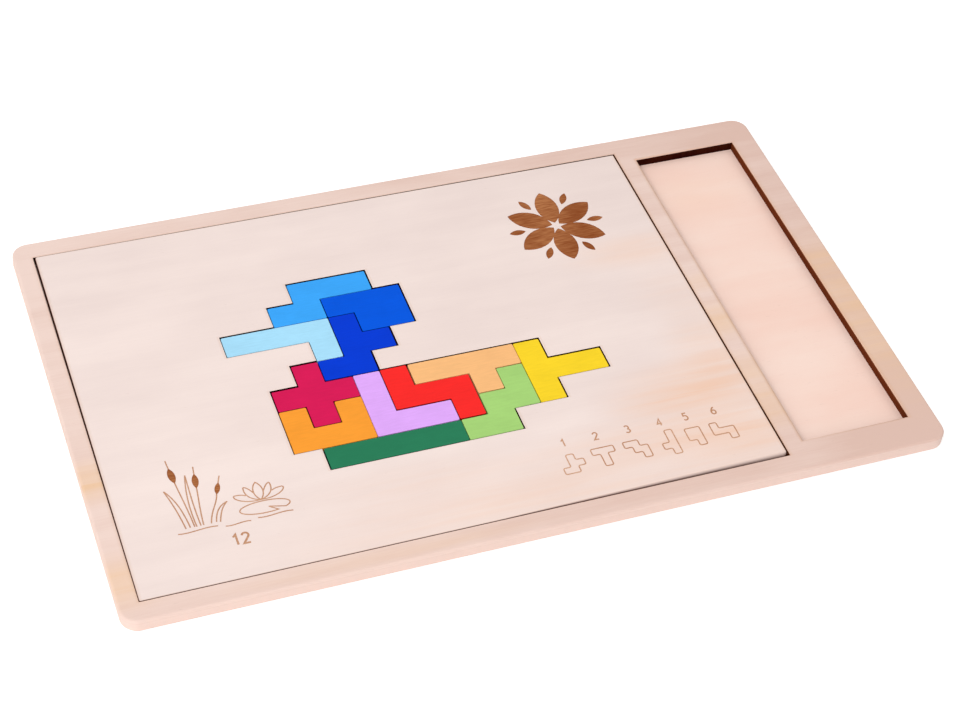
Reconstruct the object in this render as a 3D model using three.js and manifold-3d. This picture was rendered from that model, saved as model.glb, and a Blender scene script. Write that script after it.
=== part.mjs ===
// Wooden block puzzle: a shallow tray, a loose picture board and twelve blocks of five squares.
// Millimetres, +Z up. The origin is the centre of the tray's underside.

import * as THREE from 'three';
import { mergeVertices } from 'three/addons/utils/BufferGeometryUtils.js';
import Module from 'manifold-3d';

const wasm = await Module();
wasm.setup();

// Tray: a base panel with a frame glued on top of it
const baseThickness = 1.4;
const frameThickness = 3.8;
const trayCornerRadius = 6;
const trayEdgeRadius = 0.8;
const borderLeft = 7;
const borderRight = 9.9;
const borderLong = 7.8;
const barWidth = 7.4;

// Window for the board, and the slot where loose blocks are kept
const windowLength = 230;
const windowDepth = 164.5;
const slotLength = 41.6;
const slotDepth = 154;

// Picture board, which lies loose in the window. Two opposite corners are eased for a fingernail.
const boardThickness = 3.8;
const boardClearanceX = 0.6;
const boardClearanceY = 0.35;
const boardSlideY = -0.1;
const boardCornerRadius = 0.5;
const boardEasedRadius = 1.4;
const boardEdgeRadius = 0.3;
const pictureShiftX = 4.9;
const pictureShiftY = -0.3;

// Blocks, which lie loose in the opening and a little towards its left side
const squareSize = 10;
const blockThickness = 3.6;
const blockGap = 0.3;
const openingClearance = 0.25;
const blockSlideX = -0.1;
const blockSlideY = -0.05;
const blockCornerRadius = 0.5;
const blockEdgeRadius = 0.3;

// Arc steps per quarter turn, in pairs, and rings of a rounded edge
const trayArcSteps = 4;
const smallArcSteps = 1;
const trayEdgeRings = 4;
const smallEdgeRings = 2;

// The picture, one letter for each square of a block
const pictureRows = [
  '...NNN.......',
  '..NNPPP......',
  'LLLLFPP......',
  '...LFF.......',
  '..XFF........',
  '.XXXVZYYYYT..',
  '.UXUVZZZYWTTT',
  '.UUUVVVZWWT..',
  '..IIIIIWW....',
];

const blockPaints = {
  F: { name: 'dark_blue', colour: 0x083ed8 },
  I: { name: 'dark_green', colour: 0x30805c },
  L: { name: 'pale_cyan', colour: 0xabe2fd },
  N: { name: 'sky_blue', colour: 0x3da9fd },
  P: { name: 'royal_blue', colour: 0x085ce4 },
  T: { name: 'yellow', colour: 0xfed92a },
  U: { name: 'orange', colour: 0xfea135 },
  V: { name: 'lavender', colour: 0xe4adfd },
  W: { name: 'light_green', colour: 0xa9d77a },
  X: { name: 'crimson', colour: 0xdc235c },
  Y: { name: 'peach', colour: 0xfec182 },
  Z: { name: 'red', colour: 0xfe322f },
};

// Sizes that follow from the ones above
const trayLength = borderLeft + windowLength + barWidth + slotLength + borderRight;
const trayDepth = windowDepth + 2 * borderLong;
const trayThickness = baseThickness + frameThickness;
const windowX = -trayLength / 2 + borderLeft + windowLength / 2;
const slotX = trayLength / 2 - borderRight - slotLength / 2;
const boardLength = windowLength - 2 * boardClearanceX;
const boardDepth = windowDepth - 2 * boardClearanceY;

const plywood = { color: 0xeccec3, roughness: 0.7, metalness: 0 };
const boardPlywood = { color: 0xf3e4dc, roughness: 0.7, metalness: 0 };
const paintRoughness = 0.45;

// Corners of a rectangle centred on the origin, counter-clockwise from the near left one.
function rectangle(length, depth) {
  const x = length / 2;
  const y = depth / 2;
  return [
    new THREE.Vector2(-x, -y),
    new THREE.Vector2(x, -y),
    new THREE.Vector2(x, y),
    new THREE.Vector2(-x, y),
  ];
}

// Squares of the picture that the test accepts, as columns and rows counted from its near left corner.
function picturedSquares(accepts) {
  const squares = [];
  pictureRows.forEach((letters, index) => {
    const row = pictureRows.length - 1 - index;
    [...letters].forEach((letter, column) => {
      if (accepts(letter)) squares.push({ column, row });
    });
  });
  return squares;
}

// Corners of the outline round joined squares, counter-clockwise, centred on the picture.
function outlineOfSquares(squares) {
  const steps = new Map();
  const key = (x, y) => `${x},${y}`;
  const taken = new Set(squares.map(({ column, row }) => key(column, row)));
  for (const { column, row } of squares) {
    const ring = [[column, row], [column + 1, row], [column + 1, row + 1], [column, row + 1]];
    const neighbours = [[column, row - 1], [column + 1, row], [column, row + 1], [column - 1, row]];
    neighbours.forEach((neighbour, side) => {
      if (!taken.has(key(...neighbour))) steps.set(key(...ring[side]), ring[(side + 1) % 4]);
    });
  }
  const nearRow = Math.min(...squares.map(({ row }) => row));
  const start = squares.find(({ row }) => row === nearRow);
  const points = [];
  let point = [start.column, start.row];
  do {
    points.push(point);
    point = steps.get(key(...point));
  } while (key(...point) !== key(...points[0]));

  const corners = points.filter((here, index) => {
    const before = points.at(index - 1);
    const after = points[(index + 1) % points.length];
    return (before[0] === here[0]) !== (here[0] === after[0]);
  });
  const middleColumn = pictureRows[0].length / 2;
  const middleRow = pictureRows.length / 2;
  return corners.map(([x, y]) => {
    const corner = new THREE.Vector2(x - middleColumn, y - middleRow);
    return corner.multiplyScalar(squareSize);
  });
}

// Directions of the outline's sides that end and start at a corner.
function sidesAt(corners, index) {
  const here = corners[index];
  const arriving = here.clone().sub(corners.at(index - 1)).normalize();
  const leaving = corners[(index + 1) % corners.length].clone().sub(here).normalize();
  return { here, arriving, leaving };
}

// Move every side of a square-cornered outline outward by a distance.
function offsetOutline(corners, distance) {
  return corners.map((_, index) => {
    const { here, arriving, leaving } = sidesAt(corners, index);
    const outward = new THREE.Vector2(arriving.y + leaving.y, -arriving.x - leaving.x);
    return here.clone().addScaledVector(outward, distance);
  });
}

// Shape of a square-cornered outline with its outer corners rounded by the radii in turn.
function roundedShape(corners, ...radii) {
  const shape = new THREE.Shape();
  corners.forEach((_, index) => {
    const { here, arriving, leaving } = sidesAt(corners, index);
    const radius = radii[index % radii.length];
    if (arriving.cross(leaving) > 0) {
      const centre = here.clone().addScaledVector(arriving, -radius).addScaledVector(leaving, radius);
      const start = Math.atan2(-leaving.y, -leaving.x);
      shape.absarc(centre.x, centre.y, radius, start, start + Math.PI / 2, false);
    } else {
      shape.lineTo(here.x, here.y);
    }
  });
  return shape;
}

// Sheet of a shape from z = 0 up, with the edges of both faces rounded inside its outline.
function sheet(shape, thickness, edgeRadius, edgeRings, arcSteps) {
  const geometry = new THREE.ExtrudeGeometry(shape, {
    depth: thickness - 2 * edgeRadius,
    bevelEnabled: true,
    bevelThickness: edgeRadius,
    bevelSize: edgeRadius,
    bevelOffset: -edgeRadius,
    bevelSegments: edgeRings,
    curveSegments: arcSteps,
  });
  return geometry.translate(0, 0, edgeRadius);
}

function toManifold(geometry) {
  const bare = geometry.clone();
  bare.deleteAttribute('normal');
  bare.deleteAttribute('uv');
  const merged = mergeVertices(bare);
  const vertProperties = new Float32Array(merged.attributes.position.array);
  const triVerts = new Uint32Array(merged.index.array);
  return new wasm.Manifold(new wasm.Mesh({ numProp: 3, vertProperties, triVerts }));
}

function toGeometry(manifold) {
  const { vertProperties, triVerts } = manifold.getMesh();
  const geometry = new THREE.BufferGeometry();
  geometry.setAttribute('position', new THREE.BufferAttribute(vertProperties, 3));
  geometry.setIndex(new THREE.BufferAttribute(triVerts, 1));
  geometry.computeVertexNormals();
  return geometry;
}

// Upright box between two heights, centred on x.
function boxBetween(length, depth, bottom, top, x) {
  const box = new THREE.BoxGeometry(length, depth, top - bottom);
  return toManifold(box.translate(x, 0, (bottom + top) / 2));
}

const puzzle = new THREE.Group();

function addPiece(name, geometry, look) {
  const mesh = new THREE.Mesh(geometry, new THREE.MeshStandardMaterial(look));
  mesh.name = name;
  puzzle.add(mesh);
  return mesh;
}

// Tray: one rounded blank, parted at the glue line so that the outer edges run through.
function addTray() {
  const outline = roundedShape(rectangle(trayLength, trayDepth), trayCornerRadius);
  const blank = toManifold(sheet(outline, trayThickness, trayEdgeRadius, trayEdgeRings, trayArcSteps));
  const lower = boxBetween(2 * trayLength, 2 * trayDepth, -trayThickness, baseThickness, 0);
  const windowCut = boxBetween(windowLength, windowDepth, 0, 2 * trayThickness, windowX);
  const slotCut = boxBetween(slotLength, slotDepth, 0, 2 * trayThickness, slotX);
  const frame = blank.subtract(lower).subtract(windowCut).subtract(slotCut);
  addPiece('tray_base', toGeometry(blank.intersect(lower)), plywood);
  addPiece('tray_frame', toGeometry(frame), plywood);
}

// Picture board: it lies in the window with clearance all round, and its opening clears the blocks.
function addBoard() {
  const shape = roundedShape(rectangle(boardLength, boardDepth), boardCornerRadius, boardEasedRadius);
  const picture = outlineOfSquares(picturedSquares((letter) => letter !== '.'));
  const shift = new THREE.Vector2(pictureShiftX, pictureShiftY);
  const opening = offsetOutline(picture, openingClearance).map((corner) => corner.add(shift));
  shape.holes.push(new THREE.Path(opening));
  const geometry = sheet(shape, boardThickness, boardEdgeRadius, smallEdgeRings, smallArcSteps);
  addPiece('picture_board', geometry, boardPlywood).position.set(windowX, boardSlideY, baseThickness);
}

// Blocks: each lies on the base, half a gap inside its own squares.
function addBlocks() {
  const x = windowX + pictureShiftX + blockSlideX;
  const y = boardSlideY + pictureShiftY + blockSlideY;
  for (const [letter, paint] of Object.entries(blockPaints)) {
    const squares = picturedSquares((other) => other === letter);
    const outline = offsetOutline(outlineOfSquares(squares), -blockGap / 2);
    const shape = roundedShape(outline, blockCornerRadius);
    const geometry = sheet(shape, blockThickness, blockEdgeRadius, smallEdgeRings, smallArcSteps);
    const look = { color: paint.colour, roughness: paintRoughness, metalness: 0 };
    const block = addPiece(`block_${letter.toLowerCase()}_${paint.name}`, geometry, look);
    block.position.set(x, y, baseThickness);
  }
}

addTray();
addBoard();
addBlocks();

export default puzzle;
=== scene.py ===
# %% [markdown]
# # A wooden block puzzle
# A shallow plywood tray holds a loose picture board. Twelve painted blocks, each made of five squares,
# fill a stepped opening in the board, and a slot on the right keeps blocks that are not in use.
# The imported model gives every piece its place. This lesson gives every piece its visible shape and finish.

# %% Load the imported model
import math

import bpy
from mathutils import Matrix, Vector
from mathutils.geometry import delaunay_2d_cdt, interpolate_bezier, tessellate_polygon


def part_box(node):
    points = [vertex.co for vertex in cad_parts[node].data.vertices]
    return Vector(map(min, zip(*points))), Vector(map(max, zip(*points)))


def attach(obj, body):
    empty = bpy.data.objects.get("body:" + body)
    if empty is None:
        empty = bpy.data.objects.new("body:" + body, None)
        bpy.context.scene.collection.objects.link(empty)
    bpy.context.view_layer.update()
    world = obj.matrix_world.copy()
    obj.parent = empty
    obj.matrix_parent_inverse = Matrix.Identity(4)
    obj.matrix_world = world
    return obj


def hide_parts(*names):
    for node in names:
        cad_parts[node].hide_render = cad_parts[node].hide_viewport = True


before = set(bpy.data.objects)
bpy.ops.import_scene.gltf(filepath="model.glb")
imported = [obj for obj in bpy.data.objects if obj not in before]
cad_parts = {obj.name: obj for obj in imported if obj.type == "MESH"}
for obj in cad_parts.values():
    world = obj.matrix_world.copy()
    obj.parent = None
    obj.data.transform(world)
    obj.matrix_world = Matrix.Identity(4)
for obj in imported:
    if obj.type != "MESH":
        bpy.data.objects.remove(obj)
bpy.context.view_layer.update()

MM = 0.001

# %% [markdown]
# ## Camera
# The photograph looks down on the near left corner with a long lens. Its viewpoint can be found from the
# regular grid of squares, because a known grid fixes the lens, the place and the tilt of a camera.
# The values below are that viewpoint, in millimetres and degrees.

# %% Camera
CAMERA_PLACE = (-224.42, -513.67, 570.30)
CAMERA_TURN = (44.110, -4.339, -19.558)
LENS_LENGTH = 83.058
SENSOR_WIDTH = 36.0
CLIP_START = 0.01

camera = bpy.data.objects.new("camera", bpy.data.cameras.new("camera"))
camera.data.lens = LENS_LENGTH
camera.data.sensor_width = SENSOR_WIDTH
camera.data.clip_start = CLIP_START
camera.location = Vector(CAMERA_PLACE) * MM
camera.rotation_euler = [math.radians(angle) for angle in CAMERA_TURN]
bpy.context.scene.collection.objects.link(camera)
bpy.context.scene.camera = camera
bpy.context.scene.view_settings.view_transform = "Standard"
print("camera to tray in mm:", round(camera.location.length / MM))

# %% [markdown]
# ## Places from the frame
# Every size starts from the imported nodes. The tray's outline, the heights of the sheets and the two
# windows are read from the solids, and the picture's grid is read from the long straight block, which
# lies in the third to seventh column of the nearest row.

# %% Sizes of the tray, in millimetres
def box_mm(node):
    low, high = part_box(node)
    return low / MM, high / MM


tray_low, tray_high = box_mm("tray_base")
board_low, board_high = box_mm("picture_board")
SEAM_Z = tray_high.z
TOP_Z = box_mm("tray_frame")[1].z

TRAY_CORNER = [6.0]
TRAY_EDGE = 0.8


def inner_corners(node, top, margin=5.0, tolerance=0.01):
    """Corners of the windows in a flat frame: points of its top face that lie well inside its box."""
    low, high = box_mm(node)
    found = set()
    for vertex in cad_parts[node].data.vertices:
        x, y, z = vertex.co / MM
        inside = low.x + margin < x < high.x - margin and low.y + margin < y < high.y - margin
        if inside and abs(z - top) < tolerance:
            found.add((round(x, 2), round(y, 2)))
    return sorted(found)


corners = inner_corners("tray_frame", TOP_Z)
columns = sorted({x for x, _ in corners})
window = [point for point in corners if point[0] in columns[:2]]
slot = [point for point in corners if point[0] in columns[2:]]
print("window corners:", window)
print("slot corners:", slot)

# %% The picture, one letter for each square of a block
PICTURE = [
    "...NNN.......",
    "..NNPPP......",
    "LLLLFPP......",
    "...LFF.......",
    "..XFF........",
    ".XXXVZYYYYT..",
    ".UXUVZZZYWTTT",
    ".UUUVVVZWWT..",
    "..IIIIIWW....",
]
SQUARE = 10.0
BLOCK_GAP = 0.3
BLOCK_CORNER = [0.5]
BLOCK_EDGE = 0.16
STRAIGHT_BLOCK_COLUMN = 2

block_nodes = {name.split("_")[1].upper(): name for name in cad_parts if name.startswith("block_")}
straight_low = box_mm(block_nodes["I"])[0]
grid_x = straight_low.x - BLOCK_GAP / 2 - STRAIGHT_BLOCK_COLUMN * SQUARE
grid_y = straight_low.y - BLOCK_GAP / 2
print("blocks:", len(block_nodes), "grid corner:", round(grid_x, 2), round(grid_y, 2))

# %% [markdown]
# ## Outlines
# Every piece of this puzzle is a flat sheet cut along square-cornered lines, so one set of outline tools
# serves them all. Bevel modifiers could round the edges too, but outlines that are moved inward ring by
# ring give clean rows of faces, and each row can take its own finish.

# %% Outlines of squares
def rectangle(low_x, low_y, high_x, high_y):
    return [(low_x, low_y), (high_x, low_y), (high_x, high_y), (low_x, high_y)]


def squares_of(letters):
    """Columns and rows of the picture's squares that hold one of the letters, counted from the near left."""
    found = []
    for index, text in enumerate(PICTURE):
        row = len(PICTURE) - 1 - index
        found += [(column, row) for column, letter in enumerate(text) if letter in letters]
    return found


def outline_of_squares(squares):
    """Corners round joined squares, counter-clockwise, in millimetres of the shared frame."""
    taken = set(squares)
    following = {}
    for column, row in squares:
        ring = [(column, row), (column + 1, row), (column + 1, row + 1), (column, row + 1)]
        beside = [(column, row - 1), (column + 1, row), (column, row + 1), (column - 1, row)]
        for side, neighbour in enumerate(beside):
            if neighbour not in taken:
                following[ring[side]] = ring[(side + 1) % 4]
    first = min(squares, key=lambda square: (square[1], square[0]))
    points = [first]
    while following[points[-1]] != first:
        points.append(following[points[-1]])
    corners = []
    for index, here in enumerate(points):
        before = points[index - 1]
        after = points[(index + 1) % len(points)]
        if (before[0] == here[0]) != (here[0] == after[0]):
            corners.append((grid_x + here[0] * SQUARE, grid_y + here[1] * SQUARE))
    return corners


print("corners of the picture:", len(outline_of_squares(squares_of("FILNPTUVWXYZ"))))

# %% Moved and rounded outlines
LEAST_RADIUS = 0.02


def sides_at(corners, index):
    """A corner of an outline, and the directions of the sides that end and start there."""
    here = Vector(corners[index])
    arriving = (here - Vector(corners[index - 1])).normalized()
    leaving = (Vector(corners[(index + 1) % len(corners)]) - here).normalized()
    return here, arriving, leaving


def offset_outline(corners, along_x, along_y=None):
    """Move every side of a square-cornered outline outward, by one distance or by one for x and one for y."""
    reach = (along_x, along_x if along_y is None else along_y)
    moved = []
    for index in range(len(corners)):
        here, arriving, leaving = sides_at(corners, index)
        outward = (arriving.y + leaving.y, -arriving.x - leaving.x)
        moved.append((here.x + outward[0] * reach[0], here.y + outward[1] * reach[1]))
    return moved


def rounded(corners, radii, steps):
    """Points of a square-cornered outline with its outer corners turned into arcs of the radii in turn."""
    points = []
    for index in range(len(corners)):
        here, arriving, leaving = sides_at(corners, index)
        radius = radii[index % len(radii)]
        if arriving.cross(leaving) < 0:
            points.append(tuple(here))
            continue
        centre = here + (leaving - arriving) * radius
        start = math.atan2(-leaving.y, -leaving.x)
        for step in range(steps + 1):
            angle = start + math.pi / 2 * step / steps
            points.append((centre.x + radius * math.cos(angle), centre.y + radius * math.sin(angle)))
    return points


def inset_ring(corners, radii, steps, inset):
    """The outline moved inward, with arcs that keep their centres."""
    smaller = [max(radius - inset, LEAST_RADIUS) for radius in radii]
    return rounded(offset_outline(corners, -inset), smaller, steps)


straight_block = offset_outline(outline_of_squares(squares_of("I")), -BLOCK_GAP / 2)
print("corners of the straight block:", [(round(x, 2), round(y, 2)) for x, y in straight_block])

# %% Shell: the points, faces and finishes of one piece
SMOKE = "smoke_stain"


class Shell:
    """Collects one closed piece in millimetres. A finish is an index into the piece's materials."""

    def __init__(self):
        self.points = []
        self.faces = []
        self.finishes = []
        self.stains = {}

    def ring(self, outline, height):
        start = len(self.points)
        self.points += [(x, y, height) for x, y in outline]
        return list(range(start, len(self.points)))

    def stain(self, ring, strength=1.0):
        """Mark a ring as stained by the smoke of the laser. Other points stay clean."""
        self.stains.update({index: strength for index in ring})

    def face(self, indices, finish):
        self.faces.append(indices)
        self.finishes.append(finish)

    def wall(self, lower, upper, finish):
        """Faces between two rings. They look outward when the first ring is the lower one."""
        for index in range(len(lower)):
            after = (index + 1) % len(lower)
            self.face((lower[index], lower[after], upper[after], upper[index]), finish)

    def walls(self, rings, finish):
        for lower, upper in zip(rings, rings[1:]):
            self.wall(lower, upper, finish)

    def cap(self, rings, upward, finish):
        """A flat face inside the first ring and outside the others."""
        if len(rings) == 1:
            self.face(tuple(rings[0]) if upward else tuple(reversed(rings[0])), finish)
            return
        loops = [[Vector(self.points[index]) for index in ring] for ring in rings]
        indices = [index for ring in rings for index in ring]
        for corner_set in tessellate_polygon(loops):
            a, b, c = (indices[corner] for corner in corner_set)
            ax, ay, _ = self.points[a]
            turn = Vector((self.points[b][0] - ax, self.points[b][1] - ay)).cross(
                Vector((self.points[c][0] - ax, self.points[c][1] - ay)))
            self.face((a, b, c) if (turn > 0) == upward else (a, c, b), finish)

    def make(self, name, materials, smooth_angle=40.0):
        mesh = bpy.data.meshes.new(name)
        mesh.from_pydata([Vector(point) * MM for point in self.points], [], self.faces)
        for material in materials:
            mesh.materials.append(material)
        mesh.polygons.foreach_set("material_index", self.finishes)
        smoke = mesh.attributes.new(SMOKE, "FLOAT", "POINT")
        for index, strength in self.stains.items():
            smoke.data[index].value = strength
        mesh.shade_smooth()
        mesh.set_sharp_from_angle(angle=math.radians(smooth_angle))
        mesh.validate()
        piece = bpy.data.objects.new(name, mesh)
        bpy.context.scene.collection.objects.link(piece)
        print(name, "points", len(mesh.vertices), "faces", len(mesh.polygons))
        return piece


# %% Rounded edges
def round_over(radius, steps, support):
    """Insets and drops of a quarter-round edge, from the wall to the face.
    A last inset a little further in keeps the flat face's shading flat."""
    rows = []
    for step in range(steps + 1):
        angle = math.pi / 2 * step / steps
        rows.append((radius * (1 - math.cos(angle)), radius * (1 - math.sin(angle))))
    rows.append((radius + support, 0.0))
    return rows


tray_round = round_over(TRAY_EDGE, 2, 0.0)
print("tray edge, insets and drops in mm:", [(round(inset, 2), round(drop, 2)) for inset, drop in tray_round])

# %% [markdown]
# ## Materials
# Colours are written as they look on a screen, so one function turns a hex value into the linear values
# that the shader wants. One small function adds a node: an input that is a socket becomes a link, and
# anything else is set as a value.

# %% Colours and nodes
def linear(hex_colour):
    values = []
    for start in (1, 3, 5):
        channel = int(hex_colour[start:start + 2], 16) / 255
        values.append(channel / 12.92 if channel <= 0.04045 else ((channel + 0.055) / 1.055) ** 2.4)
    return (*values, 1.0)


def connect(tree, node, inputs):
    """Set inputs of a node, by name or number, to another node's sockets or to plain values."""
    for key, value in dict(inputs).items():
        if isinstance(value, bpy.types.NodeSocket):
            tree.links.new(value, node.inputs[key])
        else:
            node.inputs[key].default_value = value


def add(tree, kind, inputs=(), output=0, **settings):
    """Add a shader node with its settings and inputs, and give back one of its outputs."""
    node = tree.nodes.new("ShaderNode" + kind)
    for name, value in settings.items():
        setattr(node, name, value)
    connect(tree, node, inputs)
    return node.outputs[output]


def new_material(name):
    material = bpy.data.materials.new(name)
    material.use_nodes = True
    tree = material.node_tree
    return material, tree, tree.nodes["Principled BSDF"]


print("middle grey in linear values:", round(linear("#808080")[0], 3))

# %% [markdown]
# ### Sanded birch plywood
# The tray and the board are birch plywood: thin peeled layers glued with the grain crossed. Peeled birch
# is pale and pinkish and almost plain: wide soft bands, faint growth lines, a few warm heartwood streaks.
# A solid texture suits it, because the same fibres then run along the faces and show as dots on the end
# grain. Sanding leaves it matt. The core layer has its grain turned, and glue lines show on the edges.

# %% Patterns of birch
# Lengths along and across the grain, in millimetres. Birch fibres are under a tenth of a millimetre
# wide, too fine to show, so they are drawn half a millimetre wide.
PLIES = 3
PLY_MARGIN = 0.001
BAND = (120.0, 7.0, 7.0)
CLOUD = (46.0, 26.0, 26.0)
GROWTH = (140.0, 24.0, 24.0)
GROWTH_LINES = 44.0
FIBRE = (11.0, 0.5, 0.5)
PORE = (2.2, 0.32, 0.32)
HEART_STREAK = (70.0, 4.0, 4.0)
SPOT_HEIGHT = 1000.0


def scale_of(sizes):
    """Scale at which a pattern of size one gets the given sizes in millimetres."""
    return [1 / (size * MM) for size in sizes]


def mottle(tree, source, sizes, shift, **inputs):
    """Soft patches of the given sizes: noise on stretched coordinates. Inputs go to the noise."""
    place = add(tree, "Mapping", {"Vector": source, "Scale": scale_of(sizes), "Location": shift})
    return add(tree, "TexNoise", {"Vector": place, "Scale": 1.0, "Detail": 2.0, **inputs}, output="Fac")


def spots(tree, source, places):
    """Sum of soft round spots, each given as x and y, half-length, half-width and strength."""
    total = 0.0
    for x, y, half_length, half_width, strength in places:
        near = add(tree, "Mapping", {
            "Vector": source, "Scale": scale_of((half_length, half_width, SPOT_HEIGHT)),
            "Location": (-x / half_length, -y / half_width, 0)})
        ball = add(tree, "TexGradient", {"Vector": near}, output="Fac", gradient_type="SPHERICAL")
        spot = add(tree, "MapRange", {"Value": ball, "To Max": strength}, interpolation_type="SMOOTHSTEP")
        total = add(tree, "Math", {0: spot, 1: total}, operation="ADD")
    return total


print("fibres, length and width in mm:", FIBRE[:2])

# %% Layers and edges of plywood
def ply_grain(tree, place, bottom, top):
    """How many layers lie below a point, and coordinates whose grain is turned in every second layer."""
    parts = add(tree, "SeparateXYZ", {"Vector": place}).node.outputs
    layer = add(tree, "MapRange", {
        "Value": parts["Z"], "From Min": bottom * MM, "From Max": top * MM,
        "To Min": PLY_MARGIN, "To Max": PLIES - PLY_MARGIN})
    whole = add(tree, "Math", {0: layer}, operation="FLOOR")
    crossed = add(tree, "Math", {0: whole, 1: 2.0}, operation="FLOORED_MODULO")
    turned = add(tree, "CombineXYZ", {"X": parts["Y"], "Y": parts["X"], "Z": parts["Z"]})
    grain = add(tree, "Mix", {0: crossed, 4: place, 5: turned}, output=1, data_type="VECTOR")
    return layer, grain


def facing(tree, axis):
    """How squarely a surface looks along an axis, either way."""
    normal = add(tree, "NewGeometry", output="Normal")
    part = add(tree, "SeparateXYZ", {"Vector": normal}, output=axis)
    return add(tree, "Math", {0: part}, operation="ABSOLUTE")


print("layers in a sheet:", PLIES)

# %% Birch plywood
WOOD_IOR = 1.5
FIBRE_HEIGHT = 0.03
# Upright sides: partly the paler sanded wood, partly painted light on the sides
PALE_AND_LIT_EDGE_COLOUR, PALE_AND_LIT_EDGE_SHARE = "#F7DACE", 0.8
GLUE_COLOUR, GLUE_SHARE = "#C79C84", 0.2
PORE_COLOUR, PORE_SHARE = "#B08A74", 0.14
SMOKE_COLOUR, SMOKE_SHARE = "#D6A273", 0.2


def birch_plywood(name, colours, bottom, top, shift, shares, tone_and_light_drift, tone_and_light_depths, hearts):
    """Birch between two heights. Colours: pale, deep and heartwood. Shares: bands, clouds, lines, fibres.
    Tone and light drift is how much deeper the tone gets over a tray's half-length along x and y, and tone
    and light depths are spots where it is deeper or paler still: partly the wood's own tone and partly
    painted light falloff across the sheet. Hearts are spots of heartwood."""
    pale, deep, warm = (linear(colour) for colour in colours)
    material, tree, shader = new_material(name)
    place = add(tree, "TexCoord", output="Object")
    layer, grain = ply_grain(tree, place, bottom, top)

    # Soft tone: bands, clouds, growth lines and fibres, each with its own small share
    band = mottle(tree, grain, BAND, shift, Distortion=0.3)
    cloud = mottle(tree, grain, CLOUD, shift, Detail=3.0)
    slow = mottle(tree, grain, GROWTH, shift, Roughness=0.45)
    rings = add(tree, "Math", {0: slow, 1: GROWTH_LINES}, operation="MULTIPLY")
    rings = add(tree, "Math", {0: rings}, operation="SINE")
    fibre = mottle(tree, grain, FIBRE, shift, Roughness=0.6)
    # Drift and depths: partly the wood's own tone, partly painted light falloff across the sheet
    steepness = [share / tray_high.x / MM for share in (*tone_and_light_drift, 0.0)]
    tone = add(tree, "VectorMath", {0: place, 1: steepness}, output="Value", operation="DOT_PRODUCT")
    tone = add(tree, "Math", {0: tone, 1: spots(tree, place, tone_and_light_depths)}, operation="ADD")
    ranges = ((band, 0.32, 0.68), (cloud, 0.34, 0.66), (rings, -1.0, 1.0), (fibre, 0.3, 0.7))
    for (pattern, low, high), share in zip(ranges, shares):
        part = add(tree, "MapRange", {"Value": pattern, "From Min": low, "From Max": high, "To Max": share})
        tone = add(tree, "Math", {0: part, 1: tone}, operation="ADD")

    # Heartwood: soft warm streaks that fade out of a few places
    streak = mottle(tree, grain, HEART_STREAK, shift, Detail=3.0, Distortion=0.6)
    heart = add(tree, "MapRange", {
        "Value": streak, "From Min": 0.36, "From Max": 0.66, "To Min": 0.6}, interpolation_type="SMOOTHSTEP")
    heart = add(tree, "Math", {0: heart, 1: spots(tree, place, hearts)}, operation="MULTIPLY")

    # A few short pores, hardly darker than the wood
    pore = add(tree, "MapRange", {
        "Value": mottle(tree, grain, PORE, shift, Detail=0.0),
        "From Min": 0.81, "From Max": 0.88, "To Max": PORE_SHARE})

    # Upright sides are paler than the faces, partly as sanded wood and partly as painted light on the sides,
    # and show the glue lines between the layers
    edge = add(tree, "MapRange", {
        "Value": facing(tree, "Z"), "From Min": 0.7, "From Max": 0.05, "To Max": PALE_AND_LIT_EDGE_SHARE})
    glue = add(tree, "Math", {0: layer, 1: 1.0}, operation="PINGPONG")
    glue = add(tree, "MapRange", {"Value": glue, "From Min": 0.12, "From Max": 0.03, "To Max": GLUE_SHARE})
    glue = add(tree, "Math", {0: glue, 1: edge}, operation="MULTIPLY")

    # Smoke of the laser runs along the fibres from a cut and leaves a faint warm rim
    smoke = add(tree, "Attribute", output="Fac", attribute_name=SMOKE)
    stain = add(tree, "Math", {0: smoke, 1: SMOKE_SHARE}, operation="MULTIPLY")

    wood = add(tree, "Mix", {0: tone, 6: pale, 7: deep}, output=2, data_type="RGBA")
    for share, colour in ((heart, warm), (pore, linear(PORE_COLOUR)), (edge, linear(PALE_AND_LIT_EDGE_COLOUR)),
                          (glue, linear(GLUE_COLOUR)), (stain, linear(SMOKE_COLOUR))):
        wood = add(tree, "Mix", {0: share, 6: wood, 7: colour}, output=2, data_type="RGBA")

    # Sanded wood is matt, and its fibres stand a few hundredths of a millimetre proud
    rough = add(tree, "MapRange", {
        "Value": fibre, "From Min": 0.3, "From Max": 0.7, "To Min": 0.56, "To Max": 0.72})
    bump = add(tree, "Bump", {"Height": fibre, "Strength": 0.3, "Distance": FIBRE_HEIGHT * MM})
    connect(tree, shader, {
        "Base Color": wood, "Roughness": rough, "Normal": bump,
        "IOR": WOOD_IOR, "Specular IOR Level": 0.25})
    return material


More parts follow.
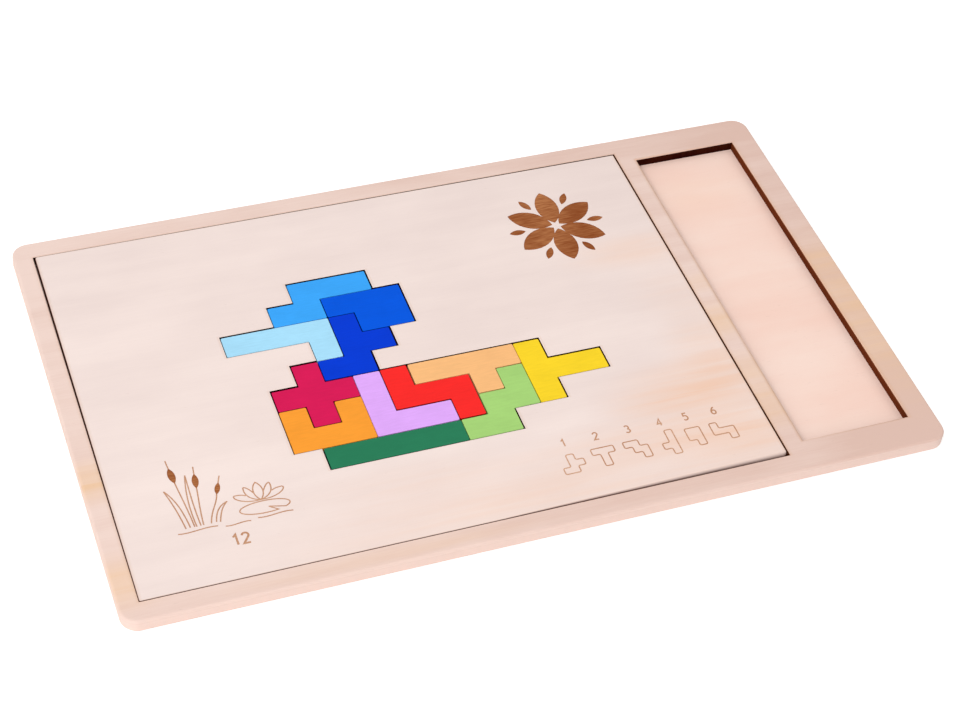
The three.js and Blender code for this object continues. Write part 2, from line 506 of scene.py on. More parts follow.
# %% The three sheets
# Spots are given in millimetres of the tray
frame_birch = birch_plywood(
    "sanded_birch_plywood_frame", ("#F2D8CD", "#E2C0B2", "#EFC59A"), SEAM_Z, TOP_Z, (3.1, 7.7, 1.3),
    shares=(0.34, 0.28, 0.10, 0.20), tone_and_light_drift=(0.34, -0.1),
    tone_and_light_depths=[(93, -5, 40, 125, -0.55), (150, -90, 60, 70, 0.8), (152, 94, 60, 44, 0.6)],
    hearts=[(-146, -73, 26, 15, 0.8), (-146, -29, 26, 13, 0.85), (-60, -86, 70, 5, 0.3),
            (118, 6, 60, 8, 0.5), (150, -26, 40, 64, 0.65), (92, -58, 16, 16, 0.6),
            (92, -40, 16, 12, 0.5), (92, -14, 16, 14, 0.6)])
base_birch = birch_plywood(
    "sanded_birch_plywood_base", ("#FEE3D6", "#FAD2C2", "#FBCFB4"), tray_low.z, SEAM_Z, (8.4, 2.9, 5.1),
    shares=(0.14, 0.44, 0.04, 0.08), tone_and_light_drift=(0.1, 0.0), tone_and_light_depths=[], hearts=[(112, 55, 40, 20, 0.25)])
board_birch = birch_plywood(
    "sanded_birch_plywood_board", ("#F8E6DF", "#EBD8D2", "#F4CAB0"),
    board_low.z, board_high.z, (1.7, 4.2, 9.6),
    shares=(0.22, 0.40, 0.06, 0.14), tone_and_light_drift=(0.1, 0.2), tone_and_light_depths=[(-130, -75, 50, 40, 0.25)],
    hearts=[(74, -42, 50, 19, 0.8), (58, -46, 34, 8, 0.3), (64, -60, 80, 15, 0.55),
            (78, -71, 44, 14, 0.6), (78, 29, 40, 12, 0.45), (84, -24, 24, 22, 0.4),
            (84, 4, 26, 26, 0.2), (-40, -58, 62, 12, 0.18), (0, -76, 130, 22, 0.4)])
print("birch:", frame_birch.name, base_birch.name, board_birch.name)

# %% [markdown]
# ### Laser-cut edges
# A laser cuts plywood by burning it, so the cut walls are charred brown. Walls that face along y are
# almost black, and walls that face along x are lighter. The beam leaves fine upright lines.

# %% Charred edges and burnt figures
# The beam's upright lines are about a tenth of a millimetre apart, so they are drawn coarser.
CHAR_LINE = (0.35, 0.35, 9.0)
CHAR_PATCH = (22.0, 22.0, 6.0)
CHAR_HEIGHT = 0.05
SCORCH_GRAIN = (5.0, 0.6, 5.0)
NO_SHIFT = (0.0, 0.0, 0.0)


def charred_birch(name, dark, light, streaks, fleck_share, x_facing_share, top_colour="#B5835C", top_share_facing_y=0.0):
    """Burnt wood between two browns. Walls that face along x keep more of the light one. Towards their top
    they fade into the top colour, and walls that face along y do so by the given share."""
    material, tree, shader = new_material(name)
    place = add(tree, "TexCoord", output="Object")
    fine = mottle(tree, place, streaks, NO_SHIFT)
    broad = mottle(tree, place, CHAR_PATCH, NO_SHIFT)
    across = facing(tree, "X")
    burn = add(tree, "Math", {0: fine, 1: broad}, operation="MULTIPLY")
    burn = add(tree, "MapRange", {"Value": burn, "From Min": 0.12, "From Max": 0.42, "To Max": fleck_share})
    burn = add(tree, "Math", {0: across, 1: x_facing_share, 2: burn},
               operation="MULTIPLY_ADD", use_clamp=True)
    colour = add(tree, "Mix", {0: burn, 6: linear(dark), 7: linear(light)}, output=2, data_type="RGBA")
    # The smoke attribute marks the top of each wall, which is drawn lighter towards the top
    smoke = add(tree, "Attribute", output="Fac", attribute_name=SMOKE)
    top_band = add(tree, "Math", {0: across, 1: top_share_facing_y}, operation="MAXIMUM")
    top_band = add(tree, "Math", {0: smoke, 1: top_band}, operation="MULTIPLY")
    colour = add(tree, "Mix", {0: top_band, 6: colour, 7: linear(top_colour)}, output=2, data_type="RGBA")
    bump = add(tree, "Bump", {"Height": fine, "Strength": 0.4, "Distance": CHAR_HEIGHT * MM})
    connect(tree, shader, {
        "Base Color": colour, "Normal": bump,
        "Roughness": 0.85, "Specular IOR Level": 0.03})
    return material


charred_edge = charred_birch("laser_charred_birch_edge", "#280301", "#75371A", CHAR_LINE, 0.2, 0.6)
browned_edge = charred_birch(
    "laser_browned_birch_edge", "#50302A", "#8A5644", CHAR_LINE, 0.3, 0.6, top_colour="#EED6CC", top_share_facing_y=1.0)
charred_opening = charred_birch("laser_charred_birch_opening", "#180302", "#5A2914", CHAR_LINE, 0.2, 0.3)
scorched_fill = charred_birch("laser_scorched_birch_fill", "#8A4722", "#BD7D50", SCORCH_GRAIN, 1.0, 0.0)
scorched_line = charred_birch("laser_scorched_birch_line", "#BE8966", "#D9AE90", SCORCH_GRAIN, 1.0, 0.0)
print("walls:", charred_edge.name, browned_edge.name, charred_opening.name)
print("figures:", scorched_fill.name, scorched_line.name)

# %% [markdown]
# ### Satin paint on wood
# The blocks are painted all over in flat bright colours. Brushed paint on wood has a soft sheen, follows
# the fibres under it a little, and lies a touch thicker in some places than in others. On upright sides the
# colour is painted darker, a painted shade for the narrow seams between blocks, most of all in the strong
# colours.

# %% Paint
PAINT_IOR = 1.5
PAINT_FIBRE = (4.0, 0.6, 0.6)
PAINT_CLOUD = (12.0, 8.0, 8.0)
PAINT_SHIFT = (3.7, 5.3, 1.9)
PAINTS = {
    "F": "#003CD8",
    "I": "#2A7E59",
    "L": "#ABE2FD",
    "N": "#3DA9FD",
    "P": "#005AE4",
    "T": "#FED92A",
    "U": "#FEA135",
    "V": "#E4ADFD",
    "W": "#A9D77A",
    "X": "#DC1A58",
    "Y": "#FEC182",
    "Z": "#FE2C2A",
}
STRONG_PAINTS = "FIPXZ"
# How bright upright sides stay: a painted shade for the seams between blocks
STRONG_SIDE_SHADE, PALE_SIDE_SHADE = 0.28, 0.8


def satin_paint(name, hex_colour, shift, side_shade_share):
    """Paint of one colour. Side shade share is how bright it stays on upright sides, a painted shade for the
    seams between blocks.
    """
    material, tree, shader = new_material(name)
    place = add(tree, "TexCoord", output="Object")
    fibre = mottle(tree, place, PAINT_FIBRE, shift)
    cloud = mottle(tree, place, PAINT_CLOUD, shift)
    shade = add(tree, "Math", {0: fibre, 1: cloud}, operation="ADD")
    shade = add(tree, "MapRange", {
        "Value": shade, "From Min": 0.7, "From Max": 1.3, "To Min": 0.94, "To Max": 1.03})
    # Upright sides are painted darker: painted shade for the seams between blocks
    side = add(tree, "MapRange", {
        "Value": facing(tree, "Z"), "From Min": 0.1, "From Max": 0.4, "To Min": side_shade_share})
    shade = add(tree, "Math", {0: shade, 1: side}, operation="MULTIPLY")
    colour = add(tree, "VectorMath", {0: linear(hex_colour)[:3], "Scale": shade}, operation="SCALE")
    rough = add(tree, "MapRange", {
        "Value": cloud, "From Min": 0.3, "From Max": 0.7, "To Min": 0.38, "To Max": 0.5})
    bump = add(tree, "Bump", {"Height": fibre, "Strength": 0.3, "Distance": FIBRE_HEIGHT * MM})
    connect(tree, shader, {
        "Base Color": colour, "Roughness": rough, "Normal": bump,
        "IOR": PAINT_IOR, "Specular IOR Level": 0.06})
    return material


paints = {}
for index, (letter, hex_colour) in enumerate(PAINTS.items()):
    finish = block_nodes[letter].split("_", 2)[2]
    shift = [index * step for step in PAINT_SHIFT]
    side = STRONG_SIDE_SHADE if letter in STRONG_PAINTS else PALE_SIDE_SHADE
    paints[letter] = satin_paint(f"satin_paint_{finish}", hex_colour, shift, side)
print("paints:", len(paints))

# %% [markdown]
# ## Tray
# The tray is two sheets glued together: a plain base and a frame with two windows. The outer edges were
# rounded after gluing, so the round runs through both, and a hair line shows where they meet.

# %% Base of the tray
TRAY_ARC_STEPS = 14
TRAY_EDGE_STEPS = 6
EDGE_SUPPORT = 0.15
SEAM_CHAMFER = 0.05

tray_corners = rectangle(tray_low.x, tray_low.y, tray_high.x, tray_high.y)


def tray_ring(shell, inset, height):
    return shell.ring(inset_ring(tray_corners, TRAY_CORNER, TRAY_ARC_STEPS, inset), height)


def make_base():
    shell = Shell()
    rows = round_over(TRAY_EDGE, TRAY_EDGE_STEPS, EDGE_SUPPORT)
    rings = [tray_ring(shell, inset, tray_low.z + drop) for inset, drop in reversed(rows)]
    rings.append(tray_ring(shell, 0.0, SEAM_Z - SEAM_CHAMFER))
    rings.append(tray_ring(shell, SEAM_CHAMFER, SEAM_Z))
    shell.walls(rings, 0)
    shell.cap([rings[0]], False, 0)
    shell.cap([rings[-1]], True, 0)
    return shell.make("tray_base_panel", [base_birch])


base = make_base()
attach(base, "tray")
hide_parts("tray_base")

# %% Frame of the tray
# How far the cut edges are worn at each corner, from the near left one on: shift in x and y, and drop
WINDOW_WEAR = [(-0.2, -0.2, 0.2), (0.2, -0.2, 0.2), (0.2, 0.2, 0.2), (-0.2, 0.2, 0.2)]
SLOT_WEAR = [(-0.8, -0.45, 0.55), (0.2, -0.45, 0.35), (0.2, 0.2, 0.2), (-0.8, 0.2, 0.55)]
# The warm rim beside a cut, in millimetres along the grain and across it
RIM_ALONG, RIM_ACROSS = 1.2, 0.4
SLOT_RIM = 1.5, 1.0
# How strongly the corners are stained, first above the worn edge and then below it
WINDOW_STAINS = [1.0] * 8
SLOT_STAINS = [1.4, 1.4, 1.0, 1.3, 2.4, 1.0, 1.0, 2.4]
# How far down the cut walls are lighter towards their top
TOP_BAND_DEPTH = 0.8


def ordered(corners):
    """The four corners of a window, counter-clockwise from the near left one."""
    xs = sorted({x for x, _ in corners})
    ys = sorted({y for _, y in corners})
    return rectangle(xs[0], ys[0], xs[-1], ys[-1])


def make_frame():
    shell = Shell()
    rings = [tray_ring(shell, SEAM_CHAMFER, SEAM_Z), tray_ring(shell, 0.0, SEAM_Z + SEAM_CHAMFER)]
    for inset, drop in round_over(TRAY_EDGE, TRAY_EDGE_STEPS, EDGE_SUPPORT):
        rings.append(tray_ring(shell, inset, TOP_Z - drop))
    shell.walls(rings, 0)
    top_rings = [rings[-1]]
    bottom_rings = [rings[0]]
    for corners, rim, wear, stains in (
            (ordered(window), (RIM_ALONG, RIM_ACROSS), WINDOW_WEAR, WINDOW_STAINS),
            (ordered(slot), SLOT_RIM, SLOT_WEAR, SLOT_STAINS)):
        clean = shell.ring(offset_outline(corners, *rim), TOP_Z)
        worn = [(x + step_x, y + step_y) for (x, y), (step_x, step_y, _) in zip(corners, wear)]
        top = shell.ring(worn, TOP_Z)
        upper = [shell.ring([corner], TOP_Z - drop)[0] for corner, (_, _, drop) in zip(corners, wear)]
        top_band = shell.ring(corners, TOP_Z - TOP_BAND_DEPTH)
        lower = shell.ring(corners, SEAM_Z)
        shell.stains.update(zip(top + upper, stains))
        shell.walls([clean, top, upper], 0)
        shell.walls([upper, top_band, lower], 1)
        top_rings.append(clean)
        bottom_rings.append(lower)
    shell.cap(top_rings, True, 0)
    shell.cap(bottom_rings, False, 0)
    return shell.make("tray_window_frame", [frame_birch, charred_edge])


window_frame = make_frame()
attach(window_frame, "tray")
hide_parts("tray_frame")

# %% [markdown]
# ## Blocks
# Each block is cut round five squares with half a gap taken off every side. Its corners and edges are
# softened by sanding and paint. Twelve blocks come from one function and the letters of the picture.

# %% Blocks
BLOCK_ARC_STEPS = 4
BLOCK_EDGE_STEPS = 4
BLOCK_SUPPORT = 0.12
# Loose blocks never lie quite on the grid, so some seams are tight and some are open. Millimetres in x and y.
BLOCK_SHIFTS = {
    "F": (0.0, 0.05), "I": (0.18, 0.0), "P": (0.02, 0.0), "T": (0.08, -0.03), "U": (0.08, -0.04),
    "V": (-0.06, 0.0), "W": (0.1, 0.0), "X": (0.1, -0.08), "Y": (0.18, 0.14), "Z": (-0.08, 0.2)}
# Some blocks were sanded a little smaller than the others
BLOCK_TRIMS = {"F": 0.04, "I": 0.03, "X": 0.07, "Z": 0.04}


def make_block(letter):
    node = block_nodes[letter]
    low, high = box_mm(node)
    shift_x, shift_y = BLOCK_SHIFTS.get(letter, (0.0, 0.0))
    trim = BLOCK_TRIMS.get(letter, 0.0)
    corners = offset_outline(outline_of_squares(squares_of(letter)), -BLOCK_GAP / 2 - trim)
    corners = [(x + shift_x, y + shift_y) for x, y in corners]
    shell = Shell()
    rows = round_over(BLOCK_EDGE, BLOCK_EDGE_STEPS, BLOCK_SUPPORT)
    levels = [(inset, low.z + drop) for inset, drop in reversed(rows)]
    levels += [(inset, high.z - drop) for inset, drop in rows]
    rings = [shell.ring(inset_ring(corners, BLOCK_CORNER, BLOCK_ARC_STEPS, inset), height)
             for inset, height in levels]
    shell.walls(rings, 0)
    shell.cap([rings[0]], False, 0)
    shell.cap([rings[-1]], True, 0)
    return shell.make(f"painted_{node}", [paints[letter]])


for letter, node in sorted(block_nodes.items()):
    block = make_block(letter)
    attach(block, f"block_{letter.lower()}")
    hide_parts(node)

# %% [markdown]
# ## Burnt figures
# The board carries figures burnt with a weak laser beam: shallow brown lines. They can be painted in a
# material, but a groove with a real floor catches light as the wood does. Every figure here is a list of
# strokes with a width, or a filled shape, all drawn in millimetres from a few points and curves.

# %% Stroke tools
LINE_WIDTH = 0.46
CURVE_STEPS = 14
MITRE_LIMIT = 0.4


def bezier(*control, steps=CURVE_STEPS):
    """Points of a curve through its first and last control points."""
    flat = [Vector(point) for point in control]
    return [tuple(point) for point in interpolate_bezier(*flat, steps)]


def arc(centre, size, start, end, steps=CURVE_STEPS):
    """Points of an elliptic arc, with half-widths in x and y and angles in degrees."""
    points = []
    for step in range(steps + 1):
        angle = math.radians(start + (end - start) * step / steps)
        points.append((centre[0] + size[0] * math.cos(angle), centre[1] + size[1] * math.sin(angle)))
    return points


def ribbon(points, width=LINE_WIDTH, closed=False):
    """Four-cornered patches that follow a line, with mitred joints."""
    count = len(points)
    sides = []
    for index in range(count):
        here = Vector(points[index])
        before = Vector(points[index - 1]) if closed or index else here
        after = Vector(points[(index + 1) % count]) if closed or index < count - 1 else here
        arriving = (here - before).normalized() if before != here else (after - here).normalized()
        leaving = (after - here).normalized() if after != here else arriving
        across = Vector((-arriving.y - leaving.y, arriving.x + leaving.x)).normalized()
        square_on = Vector((-arriving.y, arriving.x))
        reach = width / 2 / max(across.dot(square_on), MITRE_LIMIT)
        sides.append((tuple(here + across * reach), tuple(here - across * reach)))
    last = count if closed else count - 1
    patches = []
    for index in range(last):
        (left, right), (next_left, next_right) = sides[index], sides[(index + 1) % count]
        patches.append([right, next_right, next_left, left])
    return patches


print("width of a burnt line in mm:", LINE_WIDTH)

# %% Numerals as single strokes in a box one wide and two high
DIGITS = {
    "1": [[(0.15, 1.55), (0.6, 2.0), (0.6, 0.0)]],
    "2": [arc((0.5, 1.5), (0.5, 0.5), 170, -35, 10) + [(0.0, 0.0), (1.0, 0.0)]],
    "3": [arc((0.45, 1.5), (0.45, 0.5), 150, -80, 10), arc((0.45, 0.52), (0.52, 0.52), 85, -150, 10)],
    "4": [[(0.75, 0.0), (0.75, 2.0), (0.0, 0.6), (1.05, 0.6)]],
    "5": [[(0.95, 2.0), (0.2, 2.0), (0.14, 1.12)], arc((0.45, 0.65), (0.55, 0.65), 126, -145, 12)],
    "6": [bezier((0.85, 2.0), (0.4, 1.75), (0.0, 1.2), (0.0, 0.6)),
          arc((0.5, 0.58), (0.5, 0.58), 0, 360, 16)],
}
DIGIT_ADVANCE = 1.5


def numeral(text, centre, height, width):
    """Patches of a number round its centre."""
    unit = height / 2
    length = (len(text) - 1) * DIGIT_ADVANCE + 1
    patches = []
    for index, digit in enumerate(text):
        left = centre[0] + (index * DIGIT_ADVANCE - length / 2) * unit
        low = centre[1] - height / 2
        for stroke in DIGITS[digit]:
            patches += ribbon([(left + x * unit, low + y * unit) for x, y in stroke], width)
    return patches


print("numerals drawn:", " ".join(DIGITS))

# %% [markdown]
# The figures are plain and traditional: a six-petal rosette such as a pair of compasses draws, a pond
# with reeds and a water lily, plain numerals, and the outlines of six block shapes to compare with.

# %% Rosette
ROSETTE_CENTRE = (51.9, 49.0)
PETAL_TURN = 60
PETAL_START, PETAL_END, PETAL_SHARE = 1.6, 19.0, 0.5
LEAF_START, LEAF_END, LEAF_SHARE = 12.5, 19.0, 0.42
PETAL_STEPS = 12


def petal(centre, start, end, turn, share):
    """A leaf shape of two arcs from start to end along a ray; share sets its half-width."""
    half = (end - start) / 2
    bulge = half * share
    radius = (half * half + bulge * bulge) / (2 * bulge)
    sweep = math.degrees(math.asin(half / radius))
    middle = (start + end) / 2
    upper = arc((middle, bulge - radius), (radius, radius), 90 - sweep, 90 + sweep, PETAL_STEPS)
    lower = arc((middle, radius - bulge), (radius, radius), 270 - sweep, 270 + sweep, PETAL_STEPS)
    cosine, sine = math.cos(math.radians(turn)), math.sin(math.radians(turn))
    outline = upper[:-1] + lower[:-1]
    return [(centre[0] + x * cosine - y * sine, centre[1] + x * sine + y * cosine) for x, y in outline]


fills = []
for turn in range(0, 360, PETAL_TURN):
    fills.append(petal(ROSETTE_CENTRE, PETAL_START, PETAL_END, turn + PETAL_TURN / 2, PETAL_SHARE))
    fills.append(petal(ROSETTE_CENTRE, LEAF_START, LEAF_END, turn, LEAF_SHARE))
print("rosette shapes:", len(fills))

# %% Pond tools
POND_CORNER = Vector((-122.9, -60.3))
REED_LEAN, NECK_DROP = 0.3, 4.0
HEAD_SHARE, HEAD_OVERLAP = 0.36, 0.1
BLADE_BELLY = 1.6


def on_pond(points):
    return [tuple(POND_CORNER + Vector(point)) for point in points]


def reed(root, neck, head_end, tip):
    """A bent stem, a filled seed head and a thin tip. Both lines run a little way into the head."""
    bend = (root[0] * (1 - REED_LEAN) + neck[0] * REED_LEAN, (root[1] + neck[1]) / 2)
    below_head = (neck[0] * 1.5 - head_end[0] * 0.5, neck[1] - NECK_DROP)
    stem = bezier(root, bend, below_head, neck)
    neck, head_end = Vector(neck), Vector(head_end)
    axis = head_end - neck
    head = petal(neck, 0.0, axis.length, math.degrees(math.atan2(axis.y, axis.x)), HEAD_SHARE)
    fills.append(on_pond(head))
    into_head, out_of_head = neck.lerp(head_end, HEAD_OVERLAP), head_end.lerp(neck, HEAD_OVERLAP)
    return ribbon(on_pond(stem + [into_head])) + ribbon(on_pond([out_of_head, tip]))


def blade(root, rise, droop, tip, width):
    """A long leaf: both sides follow one curve and close at the tip."""
    axis = [Vector(point) for point in bezier(root, rise, droop, tip)]
    left, right = [], []
    for index, point in enumerate(axis[:-1]):
        along = (axis[index + 1] - point).normalized()
        share = index / (len(axis) - 1)
        half = width / 2 * (1 - share) * (1 + BLADE_BELLY * share)
        left.append(tuple(point + Vector((-along.y, along.x)) * half))
        right.append(tuple(point - Vector((-along.y, along.x)) * half))
    return ribbon(on_pond(left + [tip])) + ribbon(on_pond(right + [tip]))


def lily_petal(base, side, tip, rest):
    """Outer and inner edge of a side petal, drawn for the left and mirrored for the right."""
    outer = [(0, 0), side, (tip[0] * 1.12, tip[1] * 0.62), tip]
    inner = [tip, (tip[0] * 0.75, tip[1]), (rest[0] * 1.2, rest[1] * 1.2), rest]
    patches = []
    for sign in (1, -1):
        for curve in (outer, inner):
            patches += ribbon(on_pond(bezier(*((base[0] + sign * x, base[1] + y) for x, y in curve))))
    return patches


def ripple(left, right, rise):
    """A short wave that dips first and then rises."""
    third = (right[0] - left[0]) / 3
    dip, crest = (left[0] + third, left[1] - rise), (right[0] - third, right[1] + rise)
    return ribbon(on_pond(bezier(left, dip, crest, right)))


print("corner of the pond in mm:", [round(value, 1) for value in POND_CORNER])

# %% Reeds, water lily and ripples
WATER = 3.0
LILY_LEAF, LILY_SIZE, LILY_NOTCH = (31.0, 5.2), (8.6, 2.6), (1.2, -0.2)
LILY_FLOWER, LILY_HEIGHT = (30.6, 8.5), 7.8

lines = reed((6.6, WATER), (4.9, 23.0), (4.3, 30.0), (4.1, 33.6))
lines += reed((9.6, WATER), (11.3, 19.0), (12.0, 25.4), (12.4, 28.6))
lines += reed((12.2, WATER), (17.0, 14.6), (18.8, 19.6), (19.9, 22.4))
lines += blade((4.4, WATER), (3.6, 12.0), (2.0, 17.0), (0.4, 20.5), 1.5)
lines += blade((8.0, WATER), (7.4, 12.0), (8.2, 20.0), (8.9, 25.6), 1.4)
lines += blade((14.6, WATER), (15.6, 7.0), (17.0, 9.4), (19.6, 10.8), 1.3)
notch = (LILY_LEAF[0] + LILY_NOTCH[0], LILY_LEAF[1] + LILY_NOTCH[1])
lines += ribbon(on_pond([notch] + arc(LILY_LEAF, LILY_SIZE, -38, 298, 40) + [notch]))
lines += ribbon(on_pond(petal(LILY_FLOWER, 0.0, LILY_HEIGHT, 90, LEAF_SHARE)), closed=True)
lines += lily_petal(LILY_FLOWER, (-4.2, 1.0), (-4.5, 6.6), (-1.75, 3.5))
lines += lily_petal(LILY_FLOWER, (-5.4, -0.6), (-8.4, 3.8), (-4.45, 2.9))
lines += ripple((0.6, 1.4), (14.0, 1.4), 0.9)
lines += ripple((16.4, 0.6), (25.0, 0.6), 0.8)
lines += ripple((27.5, 1.2), (39.6, 1.2), 0.9)
print("pond patches:", len(lines))

# %% Numerals and block outlines
PICTOGRAM_SQUARE = 2.8
PICTOGRAM_Y = -65.3
PICTOGRAMS = [
    (14.4, [".#.", ".##", "##."]),
    (26.4, ["###", ".#.", ".#."]),
    (38.4, ["##.", ".##", "..#"]),
    (50.4, [".#", ".#", "##", ".#"]),
    (60.4, ["##", "##", ".#"]),
    (71.2, ["#..", "###", "..#"]),
]
PICTOGRAM_CORNER = 0.6
CORNER_PULL, CORNER_STEPS = 0.55, 5
NUMERAL_Y = -55.6
NUMERAL_HEIGHT, NUMERAL_WIDTH = 3.2, 0.55
COUNT_PLACE = (-103.1, -66.2)
COUNT_HEIGHT, COUNT_WIDTH = 4.4, 0.75


def pictogram(centre_x, rows):
    """Outline of a small block shape, with its corners a little rounded."""
    squares = [(column, len(rows) - 1 - index) for index, text in enumerate(rows)
               for column, mark in enumerate(text) if mark == "#"]
    half = Vector((len(rows[0]) / 2, len(rows) / 2)) * PICTOGRAM_SQUARE
    corners = []
    for x, y in outline_of_squares(squares):
        column = (x - grid_x) / SQUARE * PICTOGRAM_SQUARE
        row = (y - grid_y) / SQUARE * PICTOGRAM_SQUARE
        corners.append((centre_x + column - half.x, PICTOGRAM_Y + row - half.y))
    points = []
    for index in range(len(corners)):
        here, arriving, leaving = sides_at(corners, index)
        start, end = here - arriving * PICTOGRAM_CORNER, here + leaving * PICTOGRAM_CORNER
        pull_in, pull_out = start.lerp(here, CORNER_PULL), end.lerp(here, CORNER_PULL)
        points += bezier(start, pull_in, pull_out, end, steps=CORNER_STEPS)
    return ribbon(points, closed=True)


lines += numeral(str(len(block_nodes)), COUNT_PLACE, COUNT_HEIGHT, COUNT_WIDTH)
for index, (centre_x, rows) in enumerate(PICTOGRAMS):
    lines += numeral(str(index + 1), (centre_x, NUMERAL_Y), NUMERAL_HEIGHT, NUMERAL_WIDTH)
    lines += pictogram(centre_x, rows)
print("filled shapes:", len(fills), "line patches:", len(lines))

# %% [markdown]
# ## Picture board
# The board is one sheet with a stepped opening. Its top is split along every burnt patch by a constrained
# triangulation. Triangles inside a patch sink to the floor of the groove, and walls close the step.

# %% Edge of the board
BOARD_CORNERS = [0.5, 1.9, 0.5, 0.9]
BOARD_EDGE = 0.18
BOARD_ARC_STEPS = 6
BOARD_EDGE_STEPS = 3
# The board was trimmed by hand to fit: its corners are a little out of square, counted from the near left
# one, and its near edge is rounded more and more towards the right
CORNER_SHIFTS = [(-0.42, -0.13), (-0.1, -0.09), (-0.1, -0.1), (0.18, 0.28)]
EASED_FROM_X = -20.0
EASED_EDGE = 1.8
EASED_STAINS = [0.0, 0.0, 0.5, 1.0, 1.0]
START_BULGE = 0.02
near_side = board_low.y + CORNER_SHIFTS[1][1]


def with_start(ring):
    """The ring with a point added on its near side, where the eased edge starts, a hair out of line."""
    left, right = (Vector(point) for point in ring[BOARD_ARC_STEPS:BOARD_ARC_STEPS + 2])
    added = left.lerp(right, (EASED_FROM_X - left.x) / (right.x - left.x))
    return ring[:BOARD_ARC_STEPS + 1] + [(added.x, added.y - START_BULGE)] + ring[BOARD_ARC_STEPS + 1:]


def ease(shell, ring, inset, drop):
    """Widen a ring of the rounded edge along the near side, from nothing to the full eased edge."""
    for index in ring:
        x, y, z = shell.points[index]
        along = max(0.0, (x - EASED_FROM_X) / (board_high.x - EASED_FROM_X))
        beside = max(0.0, 1 - (y - near_side - inset) / EASED_EDGE)
        growth = along * beside * (EASED_EDGE / BOARD_EDGE - 1)
        shell.points[index] = (x, y + growth * min(inset, BOARD_EDGE), z - growth * drop)


print("near side of the board in mm:", round(near_side, 2))

# %% Engraved top
GROOVE_DEPTH = 0.1
INSIDE_ONLY, MERGE_DISTANCE = 1, 1e-3
OPENING_LOOP, FIRST_FILL = 1, 2
WOOD, CHARRED, FILL, LINE, OPENING = range(5)


def engraved_top(shell, outer, opening):
    """Top face of the board with sunk patches, joined to the rings round its edge and its opening."""
    loops = [[shell.points[index][:2] for index in ring] for ring in (outer, opening)] + fills + lines
    first_line = FIRST_FILL + len(fills)
    points = []
    faces = []
    for loop in loops:
        faces.append(list(range(len(points), len(points) + len(loop))))
        points += [Vector(point) for point in loop]
    result = delaunay_2d_cdt(points, [], faces, INSIDE_ONLY, MERGE_DISTANCE, True)
    flat, triangles, from_points, from_faces = result[0], result[2], result[3], result[5]
    ring_points = outer + opening
    top = board_high.z
    at_top = {}
    at_floor = {}

    def index_at(level, height, corner):
        if corner not in level:
            source = [number for number in from_points[corner] if number < len(ring_points)]
            if height == top and source:
                level[corner] = ring_points[source[0]]
            else:
                shell.points.append((flat[corner].x, flat[corner].y, height))
                level[corner] = len(shell.points) - 1
        return level[corner]

    sides = {}
    for corners, owners in zip(triangles, from_faces):
        if OPENING_LOOP in owners:
            continue
        sunk = WOOD
        if any(owner >= FIRST_FILL for owner in owners):
            sunk = FILL if any(FIRST_FILL <= owner < first_line for owner in owners) else LINE
        level, height = (at_floor, top - GROOVE_DEPTH) if sunk else (at_top, top)
        shell.face(tuple(index_at(level, height, corner) for corner in corners), sunk)
        for index, corner in enumerate(corners):
            sides[(corner, corners[(index + 1) % len(corners)])] = sunk
    for (start, end), sunk in sides.items():
        if sunk and sides.get((end, start)) == WOOD:
            upper = [index_at(at_top, top, corner) for corner in (start, end)]
            lower = [index_at(at_floor, top - GROOVE_DEPTH, corner) for corner in (start, end)]
            shell.face((lower[1], lower[0], upper[0], upper[1]), sunk)


print("depth of the burnt figures in mm:", GROOVE_DEPTH)

# %% Picture board
OPENING_CLEARANCE = 0.25
BLOCK_SLIDE = (-0.1, -0.05)


def make_board():
    shell = Shell()
    square = rectangle(board_low.x, board_low.y, board_high.x, board_high.y)
    outline = [(x + shift_x, y + shift_y) for (x, y), (shift_x, shift_y) in zip(square, CORNER_SHIFTS)]
    picture = offset_outline(outline_of_squares(squares_of("".join(PAINTS))), OPENING_CLEARANCE)
    picture = [(x - BLOCK_SLIDE[0], y - BLOCK_SLIDE[1]) for x, y in picture]
    rows = round_over(BOARD_EDGE, BOARD_EDGE_STEPS, EDGE_SUPPORT)
    outer = []
    opening = []
    for sign, start in ((1, board_low.z), (-1, board_high.z)):
        for inset, drop in (reversed(rows) if sign > 0 else rows):
            ring = inset_ring(outline, BOARD_CORNERS, BOARD_ARC_STEPS, inset)
            outer.append(shell.ring(with_start(ring), start + sign * drop))
            opening.append(shell.ring(offset_outline(picture, inset), start + sign * drop))
    for ring, (inset, drop), strength in zip(outer[len(rows):], rows, EASED_STAINS):
        ease(shell, ring, inset, drop)
        shell.stain(ring, strength)
    shell.stain(opening[-1])
    rim_corners = [max(radius - RIM_ACROSS, BOARD_EDGE) for radius in BOARD_CORNERS]
    rim = rounded(offset_outline(outline, -RIM_ALONG, -RIM_ACROSS), rim_corners, BOARD_ARC_STEPS)
    outer.append(shell.ring(with_start(rim), board_high.z))
    ease(shell, outer[-1], RIM_ACROSS, 0.0)
    opening.append(shell.ring(offset_outline(picture, RIM_ALONG, RIM_ACROSS), board_high.z))
    # The wall is the middle row. The burn takes in the rows next to it, and outside the whole round above it.
    middle = len(rows) - 1
    for index in range(len(outer) - 1):
        browned = middle - 2 < index < middle + BOARD_EDGE_STEPS + 1
        shell.wall(outer[index], outer[index + 1], CHARRED if browned else WOOD)
        shell.wall(opening[index + 1], opening[index], OPENING if abs(index - middle) < 2 else WOOD)
    shell.cap([outer[0], opening[0]], False, WOOD)
    engraved_top(shell, outer[-1], opening[-1])
    return shell.make(
        "engraved_picture_board", [board_birch, browned_edge, scorched_fill, scorched_line, charred_opening])


board = make_board()
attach(board, "board")
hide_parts("picture_board")

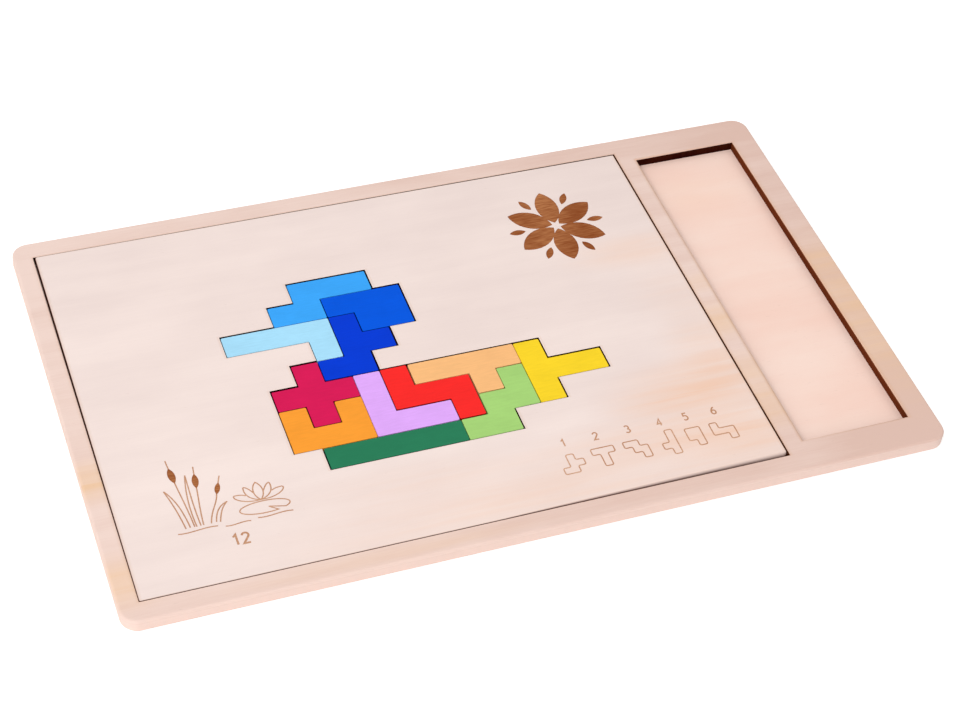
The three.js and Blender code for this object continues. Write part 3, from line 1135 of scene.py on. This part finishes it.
# %% [markdown]
# ## Floor and light
# The photograph has a plain white ground and soft light from the left. A white floor, a white world and
# three large soft lamps give that. The camera sees the floor a little lifted, so it reads as white, while
# its shadow under the tray stays.

# %% Floor
FLOOR_HALF = 1.4
FLOOR_DROP = 0.02
GROUND_COLOUR = "#F4F4F4"
GROUND_LIFT = 0.35


def white_ground():
    material, tree, shader = new_material("matt_white_ground")
    path = add(tree, "LightPath").node.outputs
    seen = add(tree, "Math", {0: path["Is Camera Ray"], 1: path["Is Glossy Ray"]}, operation="MAXIMUM")
    seen = add(tree, "Math", {0: seen, 1: path["Is Transmission Ray"]}, operation="MAXIMUM")
    lift = add(tree, "Math", {0: seen, 1: GROUND_LIFT}, operation="MULTIPLY")
    glow = add(tree, "Emission", {"Strength": lift})
    both = add(tree, "AddShader", {0: shader.outputs[0], 1: glow})
    connect(tree, shader, {"Base Color": linear(GROUND_COLOUR), "Roughness": 0.9})
    connect(tree, tree.nodes["Material Output"], {"Surface": both})
    return material


floor_shell = Shell()
floor_ring = floor_shell.ring(rectangle(-FLOOR_HALF / MM, -FLOOR_HALF / MM, FLOOR_HALF / MM, FLOOR_HALF / MM),
                              tray_low.z - FLOOR_DROP)
floor_shell.cap([floor_ring], True, 0)
floor = floor_shell.make("ground", [white_ground()])

# %% Light
WORLD_LEVEL = 0.47
LAMPS = [
    ("key_softbox", (-1.15, -0.85, 2.0), 1.6, 34.5),
    ("front_softbox", (-0.9, -1.5, 0.5), 1.0, 4.2),
    ("fill_softbox", (1.2, 0.5, 1.6), 1.6, 5.0),
]

world = bpy.data.worlds.new("white_room")
bpy.context.scene.world = world
world.use_nodes = True
seen = add(world.node_tree, "LightPath", output="Is Camera Ray")
level = add(world.node_tree, "MapRange", {"Value": seen, "To Min": WORLD_LEVEL})
connect(world.node_tree, world.node_tree.nodes["Background"], {
    "Color": linear("#FFFFFF"), "Strength": level})

for name, place, size, power in LAMPS:
    light = bpy.data.lights.new(name, "AREA")
    light.size = size
    light.energy = power
    lamp = bpy.data.objects.new(name, light)
    lamp.location = place
    lamp.rotation_euler = (-Vector(place)).to_track_quat("-Z", "Y").to_euler()
    bpy.context.scene.collection.objects.link(lamp)
print("lamps:", len(LAMPS))
